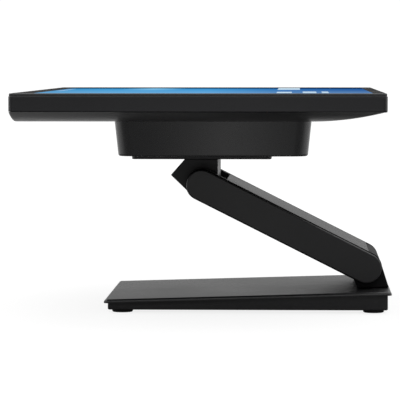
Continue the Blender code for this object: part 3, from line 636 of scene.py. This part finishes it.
def refined(node, material, width, name):
    """A CAD node's own shape with its flat faces joined up and its edges rounded."""
    source = frame["nodes"][node]
    work = bmesh.new()
    work.from_mesh(source.data)
    bmesh.ops.remove_doubles(work, verts=work.verts, dist=1e-6)
    bmesh.ops.dissolve_limit(work, angle_limit=radians(2), verts=work.verts, edges=work.edges)
    made = new_object(name, work)
    eased(made, width)
    return stands_for(finished(made, material), node)


def make_arm():
    """The cheeks as caps on black cores, whose rims show round the caps as a painted shadow gap, the bearings, and
    the covers.
    """
    def capsule(inset):
        round_end = ARM_RADIUS - inset
        upper = arc((0, 0), round_end, 90, 270, 36)
        lower = arc((ARM_LENGTH, 0), round_end, -90, 90, 36)
        return in_arm(upper + lower)

    radius = radius_of("arm_hinge_shaft")       # the tilt shaft's ends are as thin
    for side, sign in (("left", -1), ("right", 1)):
        inner, outer = sorted(span(f"arm_cheek_{side}", 0), key=abs)
        joint = outer - sign * CAP_THICKNESS
        cap = across(f"arm_side_{side}", capsule(CAP_INSET), sorted((joint, outer)))
        eased(cap, 0.0010, 4)
        way = sorted((inner - sign * PAST_FACE, sign * (span("arm_hinge_shaft", 0)[1] + GAP)))
        shaft_way(cap, radius, ARM_AXIS, way)
        stands_for(finished(cap, CHEEK_PLASTIC), f"arm_cheek_{side}")
        # The core is painted shadow: near black, its rim shows round the smaller cap like a dark gap.
        core = across(f"arm_side_shadow_core_{side}", capsule(0), sorted((inner, joint - sign * CAP_JOINT)))
        eased(core, 0.0004, 2)
        shaft_way(core, radius, ARM_AXIS, way)
        belongs(finished(core, SHADOW_BLACK), "arm")
        nose = arc((0, 0), ARM_RADIUS, 90, 270, 36)
        nose += [(BEARING_REACH, -ARM_RADIUS), (BEARING_REACH, ARM_RADIUS)]
        ends = span(f"tilt_bearing_{side}", 0)
        bearing = across(f"bearing_cap_{side}", in_arm(nose), ends)
        eased(bearing, 0.0006)
        shaft_way(bearing, radius, TILT_AXIS, (ends[0] - PAST_FACE, ends[1] + PAST_FACE))
        stands_for(finished(bearing, PLASTIC), f"tilt_bearing_{side}")
    refined("arm_top_cover", ARM_PLASTIC, 0.0005, "arm_upper_skin")
    refined("arm_bottom_cover", PLASTIC, 0.0005, "arm_lower_skin")
    refined("arm_crossbeam", INNER_PLASTIC, 0.0005, "arm_core")


# ---- head --------------------------------------------------------------------------------------
KEY_FLANGE = 0.0006             # the power key's hidden rim
SOCKETS = ("video_port", "network_port", "usb_stack_left", "usb_stack_right")
# The blower's vents: how many, where the first starts from the blower's axis, the pitch and the width.
EXHAUST = (10, -0.0252, 0.0054, 0.003)
INTAKE = (9, -0.0238, 0.0056, 0.0028)


def make_glass():
    """One sheet: polished border, chamfered edge, and the lit area set in it."""
    (x0, x1), (y0, y1), (low, high) = spans("cover_glass")
    cell_x, cell_y = x_and_y("lcd_cell")
    edge = 0.0035           # the cell's own border, outside its lit area
    lit_x, lit_y = (cell_x[0] + edge, cell_x[1] - edge), (cell_y[0] + edge, cell_y[1] - edge)
    corner, ease = 0.0028, 0.0007

    def outline(inset, z):
        return level(rounded((x0 + inset, x1 - inset), (y0 + inset, y1 - inset), corner - inset), z)

    lit = level(rounded(lit_x, lit_y, 0.0004), high)
    rings = [outline(0.0001, low), outline(0, low + 0.0001)]
    rings += [outline(ease * side, high - ease * down) for side, down in quarter(4)]
    rings.append(lit)
    made = skinned("display_glass", rings)
    finished(made, GLASS)
    made.data.materials.append(lit_panel("lit_panel", lit_x, lit_y))
    made.data.materials.append(GLASS_EDGE)
    for face in made.data.polygons:
        if face.normal.z < 0.99:
            face.material_index = 2
        elif len(face.vertices) > 4:
            face.material_index = 1
    stands_for(made, "cover_glass")


def make_gasket():
    """A black seal in the joint between glass and frame, which bites a little into both."""
    (x0, x1), (y0, y1), frame_z = spans("side_frame")
    bite, edge, bulge, inner = 0.0001, 0.0006, 0.0004, 0.0035
    low, high = frame_z[1] - bite, span("cover_glass", 2)[0] + bite

    def outline(inset, z):
        return level(rounded((x0 + inset, x1 - inset), (y0 + inset, y1 - inset), 0.0026), z)

    rings = [outline(edge, low), outline(bulge, (low + high) / 2), outline(edge, high),
             outline(inner, high), outline(inner, low)]
    stands_for(finished(skinned("display_seal", rings, closed=True), SEAL), "glass_gasket")


def make_side_frame():
    (x0, x1), (y0, y1), (low, high) = spans("side_frame")
    corner, ease, wall = 0.0032, 0.0005, 0.003
    shelf, shelf_low, shelf_high = 0.013, low + 0.0031, low + 0.0035

    def outline(inset, z):
        round_corner = max(corner - inset, 0.0008)
        return level(rounded((x0 + inset, x1 - inset), (y0 + inset, y1 - inset), round_corner), z)

    rings = [outline(0.0003, low), outline(0, low + 0.0003)]
    rings += [outline(ease * side, high - ease * down) for side, down in quarter(4)]
    rings += [outline(wall, high), outline(wall, shelf_high), outline(shelf, shelf_high),
              outline(shelf, shelf_low), outline(wall, shelf_low), outline(wall, low)]
    made = skinned("display_side_frame", rings, closed=True)
    stands_for(finished(made, FRAME_COAT), "side_frame")


def make_rear_cover():
    """The arched back of the head, flat in the middle, with its seam, button way and speaker slots."""
    (x0, x1), (y0, y1), (low, high) = spans("rear_cover")
    run, drop, corner = 0.058, span("side_frame", 2)[0] - low, 0.003
    radius = (run**2 + drop**2) / (2 * drop)

    def ring(share, shell):
        inset = run * share
        height = low + radius - sqrt(radius**2 - (run - inset) ** 2) + shell
        outline = rounded((x0 + shell + inset, x1 - shell - inset), (y0 + shell, y1 - shell - inset),
                          max(corner - shell, 0.0012))
        return level(outline, min(height, high - (0.00005 if share else 0.0)))

    shares = [i / 24 for i in range(25)]
    (bx0, bx1), (by0, by1) = x_and_y("computer_housing")
    way = rounded((bx0 + 0.011, bx1 - 0.011), (by0 + 0.009, by1 - 0.0095), 0.006)
    rings = [ring(share, 0) for share in shares]
    rings += [level(way, low), level(way, low + SHELL)]
    rings += [ring(share, SHELL) for share in (1.0, 0.66, 0.46, 0.28)]
    rings.append(level(rounded((x0 + SHELL, x1 - SHELL), (y0 + SHELL, y1 - SHELL), 0.0012), high))
    made = skinned("display_back", rings, closed=True)
    (kx0, kx1), (kz0, kz1) = x_and_z("power_button")
    key = rounded((kx0 + KEY_FLANGE - GAP, kx1 - KEY_FLANGE + GAP),
                  (kz0 + KEY_FLANGE - GAP, kz1 - KEY_FLANGE + GAP), 0.0012, 5)
    button = along_y("button_way", key, (y0 - PAST_FACE, y0 + 0.004))
    first, pitch, half_width, slot_y = 0.096, 0.006, 0.001, (-0.118, -0.104)
    slots = []
    for sign in (-1, 1):
        for i in range(6):
            x = sign * (first + pitch * i)
            slot = rounded((x - half_width, x + half_width), slot_y, 0.00095, 4)
            slots.append(slab(f"slot_{sign}_{i}", slot, low - PAST_FACE, low + 0.0035))
    carved(made, [button, *slots])
    stands_for(finished(made, COVER_PLASTIC), "rear_cover")


def vents(middle, count, first, pitch, width):
    """The X spans of a row of vents."""
    starts = [middle + first + pitch * i for i in range(count)]
    return [(x, x + width) for x in starts]


def make_housing():
    """The drafted, crowned computer housing, hollow behind its vents and sockets."""
    (x0, x1), (y0, y1), (low, high) = spans("computer_housing")
    draft, wall, ease, crown, corner = 0.0027, 0.0022, 0.0016, 0.0045, 0.011

    def ring(inset, z):
        take = inset + draft * (high - z) / (high - low)
        round_corner = max(corner - inset, 0.0012)
        outline = rounded((x0 + take, x1 - take), (y0 + take, y1 - take), round_corner, 16, 24)
        half = (y1 - y0) / 2
        return [(x * (1 - crown / x1 * ((y - y0 - half) / half) ** 2), y, z) for x, y in outline]

    rings = [ring(ease * down, low + ease * side) for side, down in quarter(6)]
    rings += [ring(0, high), ring(wall, high), ring(wall, low + wall)]
    made = skinned("computer_case", rings)
    through_front = (y0 - 0.002, y0 + 0.008)
    cutters = []
    for node in SOCKETS:
        (sx0, sx1), (sz0, sz1) = x_and_z(node)
        hole = rounded((sx0 - GAP, sx1 + GAP), (sz0 - GAP, sz1 + GAP), 0.0009, 4)
        cutters.append(along_y("way_" + node, hole, through_front))
    (ix0, ix1), (iz0, iz1) = x_and_z("power_inlet")
    inlet = circle((ix1 - ix0) / 2 + GAP, ((ix0 + ix1) / 2, (iz0 + iz1) / 2), 40)
    cutters.append(along_y("way_inlet", inlet, through_front))
    blower_x, blower_y = middle_of("blower_rotor")
    for i, x_span in enumerate(vents(blower_x, *EXHAUST)):
        slot = rounded(x_span, (0.1272, 0.1352), 0.0014, 5)
        cutters.append(along_y(f"exhaust_{i}", slot, (y1 - 0.008, y1 + 0.002)))
    for i, x_span in enumerate(vents(blower_x, *INTAKE)):
        from_axis = (x_span[0] + INTAKE[3] / 2 - blower_x) / 0.030
        reach = 0.020 * sqrt(max(0.0, 1 - from_axis**2)) + 0.002
        slot = rounded(x_span, (blower_y - reach, blower_y + reach), 0.00135, 5)
        cutters.append(slab(f"intake_{i}", slot, low - PAST_FACE, low + 0.004))
    cutters += screw_ways(*VESA_SCREWS)
    carved(made, cutters)
    stands_for(finished(made, CASE_PLASTIC), "computer_housing")


def make_mount():
    (x0, x1), (y0, y1), (low, high) = spans("mounting_plate")
    plate = slab("vesa_plate", rounded((x0, x1), (y0, y1), 0.004, 10), low, high)
    eased(plate, 0.0007)
    # A tapered recess for each screw's head, then the way of its shank.
    seat, way = low + 0.0028, 0.0022
    profile = [(0.0047, low - 0.0002), (0.0043, low + 0.0003), (0.0041, seat),
               (way, seat), (way, high + PAST_FACE)]
    carved(plate, [turned("recess_" + node, middle_of(node), profile, 32) for node in VESA_SCREWS])
    stands_for(finished(plate, DARK_COAT), "mounting_plate")
    for node in VESA_SCREWS:
        make_screw(node, BLACK_STEEL)


def make_neck():
    (x0, x1), (_, y1), (low, top) = spans("tilt_knuckle")
    radius = TILT_AXIS[1] - low
    points = [v.co for v in frame["nodes"]["tilt_knuckle"].data.vertices]
    beak = min(points, key=lambda p: p.y)
    shoulder = min((p for p in points if p.z > top - 1e-5), key=lambda p: p.y)
    start = tangent_angle(TILT_AXIS, radius, (beak.y, beak.z), 1) % 360
    outline = [(y1, top), (shoulder.y, top), (beak.y, beak.z),
               *arc(TILT_AXIS, radius, start, 360, 30)]
    made = across("tilt_neck", outline, (x0, x1))
    eased(made, 0.0007)
    shaft_way(made, radius_of("tilt_hinge_shaft"), TILT_AXIS, (x0 - PAST_FACE, x1 + PAST_FACE))
    stands_for(finished(made, DARK_COAT), "tilt_knuckle")


def make_button():
    (x0, x1), (y0, y1), (z0, z1) = spans("power_button")
    ease, rim = 0.0003, y1 - 0.001

    def outline(inset, corner):
        return rounded((x0 + inset, x1 - inset), (z0 + inset, z1 - inset), corner, 6)

    plate, key = outline(0, 0.0008), outline(KEY_FLANGE, 0.0011)
    face = outline(KEY_FLANGE + ease, 0.0009)
    rings = [(face, y0), (key, y0 + ease), (key, rim), (plate, rim), (plate, y1)]
    made = skinned("power_key", [[(x, y, z) for x, z in ring] for ring, y in rings])
    stands_for(finished(made, PLASTIC), "power_button")


# ---- sockets -----------------------------------------------------------------------------------
def contacts(name, first, pitch, half_width, count, y_span, z_span):
    """A row of gold contacts along X, from the first one's middle."""
    places = [first + pitch * i for i in range(count)]
    made = many_blocks(name, [((x - half_width, x + half_width), y_span, z_span) for x in places])
    belongs(finished(made, GOLD), "head")


def tongue(name, middle, half_width, y_span, z_span, material):
    made = block(name, (middle - half_width, middle + half_width), y_span, z_span)
    eased(made, 0.0003, 2)
    belongs(finished(made, material), "head")


def round_rings(middle, sizes, sides):
    """Rings in the X-Z plane from (radius, y) pairs."""
    return [[(x, y, z) for x, z in circle(radius, middle, sides)] for radius, y in sizes]


def make_sockets():
    mouth, back = span("usb_stack_left", 1)
    for side in ("left", "right"):
        node = f"usb_stack_{side}"
        (x0, x1), (z0, z1) = x_and_z(node)
        middle = (x0 + x1) / 2
        refined(node, NICKEL, 0.0002, "usb_shell_" + side)
        wall, half_opening = 0.0008, 0.0026
        for row, z in (("lower", z0 + wall + half_opening), ("upper", z1 - wall - half_opening)):
            tongue(f"usb_tongue_{side}_{row}", middle, 0.0056, (mouth + 0.0016, back - 0.0012),
                   (z - 0.0002, z + 0.0016), BLUE)
            contacts(f"usb_contacts_{side}_{row}", middle - 0.0042, 0.0028, 0.0005, 4,
                     (mouth + 0.0024, back - 0.002), (z - 0.00035, z - 0.00015))
    refined("network_port", NICKEL, 0.0003, "network_shell")
    (x0, x1), (z0, z1) = x_and_z("network_port")
    contacts("network_contacts", (x0 + x1) / 2 - 0.0036, 0.00102, 0.00022, 8,
             (mouth + 0.003, back - 0.003), (z1 - 0.0033, z1 - 0.0029))
    refined("video_port", NICKEL, 0.0002, "video_shell")
    (x0, x1), (z0, z1) = x_and_z("video_port")
    middle, height = (x0 + x1) / 2, (z0 + z1) / 2
    tongue("video_tongue", middle, 0.0050, (mouth + 0.002, back - 0.001),
           (height - 0.0007, height + 0.0007), INNER_PLASTIC)
    (x0, x1), (z0, z1) = x_and_z("power_inlet")
    middle, outer, bore, ease = ((x0 + x1) / 2, (z0 + z1) / 2), (x1 - x0) / 2, 0.0038, 0.0003
    sizes = [(outer, back), (outer, mouth + ease), (outer - ease, mouth), (bore + ease, mouth),
             (bore, mouth + ease), (bore, back - 0.001)]
    socket = skinned("inlet_body", round_rings(middle, sizes, 40))
    stands_for(finished(socket, INNER_PLASTIC), "power_inlet")
    sizes = [(0.0009, back - 0.0012), (0.0009, mouth + 0.0022), (0.0006, mouth + 0.0016)]
    pin = skinned("inlet_pin", round_rings(middle, sizes, 24))
    belongs(finished(pin, NICKEL), "head")


# ---- everything, then the studio ---------------------------------------------------------------
SOFTBOX = 3.0                   # strength of the overhead light
# What the camera sees of the floor and the backdrop, and then what the object is lit by.
FLOOR_SEEN, WORLD_SEEN = 0.84, 1.05
FLOOR_GLOW, FLOOR_POOL, FLOOR_BESIDE = 0.05, 0.9, 0.9
WORLD_BACK, WORLD_FRONT, WORLD_ABOVE, WORLD_SIDES, WORLD_DIM = 0.36, 0.21, 0.25, 1.5, 0.03
CAMERA_PLACE = (2.1879, 0.0680, 0.1920)
CAMERA_YAW, CAMERA_PITCH, CAMERA_LENS = 2.049, 2.880, 248.7     # degrees, degrees, millimetres


def make_object():
    make_base()
    make_arm()
    make_glass()
    make_gasket()
    make_side_frame()
    make_rear_cover()
    make_housing()
    make_mount()
    make_neck()
    make_button()
    make_sockets()
    dress(STEEL, "base_ballast", "arm_hinge_shaft", "tilt_hinge_shaft", "arm_washer_left",
          "arm_washer_right", "tilt_washer_left", "tilt_washer_right", "panel_tray",
          "chassis_plate", "vesa_stiffener")
    dress(ALUMINIUM, "fin_stack")
    dress(COPPER, "cold_plate", "heat_pipe", "display_cable")
    dress(BOARD, "main_board", "memory_module", "ssd_module")
    dress(PANEL, "processor", "lcd_cell")
    dress(WHITE, "diffuser_films", "led_bar")
    dress(CLEAR, "light_guide")
    dress(INNER_PLASTIC, "blower_housing", "blower_rotor", "speaker_left", "speaker_right")


def strength(tree, to_camera, to_object):
    """How bright a surface is to the camera, and how much light it gives the object."""
    seen = add(tree, "LightPath").outputs["Is Camera Ray"]
    return math(tree, "ADD", math(tree, "MULTIPLY", seen, to_camera),
                math(tree, "MULTIPLY", math(tree, "SUBTRACT", 1.0, seen), to_object))


def make_floor():
    """Pale paper, white to the camera. To the object it is grey nearby, with a soft patch of light
    on it in front, and bright at the sides and behind."""
    made, tree, shader, coords = start_material("studio_floor")
    mottle = noise(tree, coords, 0.5, 2.0)
    tone = blended(tree, mottle, (0.17, 0.17, 0.17), (0.19, 0.19, 0.19))
    tree.links.new(tone, shader.inputs["Base Color"])
    shader.inputs["Roughness"].default_value = 0.9
    shader.inputs["Specular IOR Level"].default_value = 0.0
    shader.inputs["Emission Color"].default_value = (1.0, 1.0, 1.0, 1.0)
    split = add(tree, "SeparateXYZ", {0: coords})
    x, y = split.outputs[0], split.outputs[1]
    pool_x, pool_y = inside(tree, x, 0.35, 2.0, 0.25), inside(tree, y, -0.05, 0.11, 0.08)
    pool = math(tree, "MULTIPLY", pool_x, pool_y)
    squares = math(tree, "ADD", math(tree, "MULTIPLY", x, x), math(tree, "MULTIPLY", y, y))
    far = remap(tree, math(tree, "SQRT", squares), 0.40, 0.55, 0.0, 1.0)
    beside = math(tree, "MULTIPLY", far, remap(tree, x, 0.40, 0.15, 0.0, 1.0))
    given = math(tree, "ADD", FLOOR_GLOW, math(tree, "MULTIPLY", pool, FLOOR_POOL))
    given = math(tree, "ADD", given, math(tree, "MULTIPLY", beside, FLOOR_BESIDE))
    tree.links.new(strength(tree, FLOOR_SEEN, given), shader.inputs["Emission Strength"])
    reach = 6.0
    floor = block("floor", (-reach, reach), (-reach, reach), (-0.02, -0.0001))
    finished(floor, made)


def make_world():
    """White to the camera. The object sees a soft backdrop at -X, dark at the horizon, a light on
    each side, a dim front and a faint light above."""
    world = bpy.data.worlds.new("studio")
    bpy.context.scene.world = world
    world.use_nodes = True
    tree = world.node_tree
    background = tree.nodes["Background"]
    direction = add(tree, "TexCoord").outputs["Generated"]
    split = add(tree, "SeparateXYZ", {0: direction})
    x, z = split.outputs[0], split.outputs[2]
    over_horizon = remap(tree, z, 0.015, 0.04, 0.0, 1.0)
    at_sides = inside(tree, x, -0.30, 0.35, 0.12)
    lights = [
        math(tree, "MULTIPLY", remap(tree, x, 0.30, -0.30, 0.0, WORLD_BACK), over_horizon),
        remap(tree, x, 0.88, 1.0, 0.0, WORLD_FRONT),
        remap(tree, z, 0.1, 0.9, 0.0, WORLD_ABOVE),
        math(tree, "MULTIPLY", at_sides, remap(tree, z, 0.55, 0.30, 0.0, WORLD_SIDES)),
    ]
    around = WORLD_DIM
    for light in lights:
        around = math(tree, "ADD", around, light)
    background.inputs["Color"].default_value = (1.0, 1.0, 1.0, 1.0)
    tree.links.new(strength(tree, WORLD_SEEN, around), background.inputs["Strength"])


def make_softbox():
    """One very wide light straight overhead, the same all over the floor."""
    data = bpy.data.lights.new("softbox", "SUN")
    data.energy = SOFTBOX
    data.angle = radians(120)
    made = bpy.data.objects.new("softbox", data)
    bpy.context.scene.collection.objects.link(made)


def make_camera():
    data = bpy.data.cameras.new("camera")
    data.lens, data.sensor_width = CAMERA_LENS, 36.0
    data.clip_start, data.clip_end = 0.1, 50.0
    made = bpy.data.objects.new("camera", data)
    bpy.context.scene.collection.objects.link(made)
    yaw, pitch = radians(CAMERA_YAW), radians(CAMERA_PITCH)
    forward = Vector((-cos(yaw) * cos(pitch), -sin(yaw) * cos(pitch), -sin(pitch)))
    made.location = CAMERA_PLACE
    made.rotation_euler = forward.to_track_quat("-Z", "Y").to_euler()
    bpy.context.scene.camera = made


make_camera()
make_object()
make_floor()
make_world()
make_softbox()
bpy.context.scene.view_settings.view_transform = "Standard"
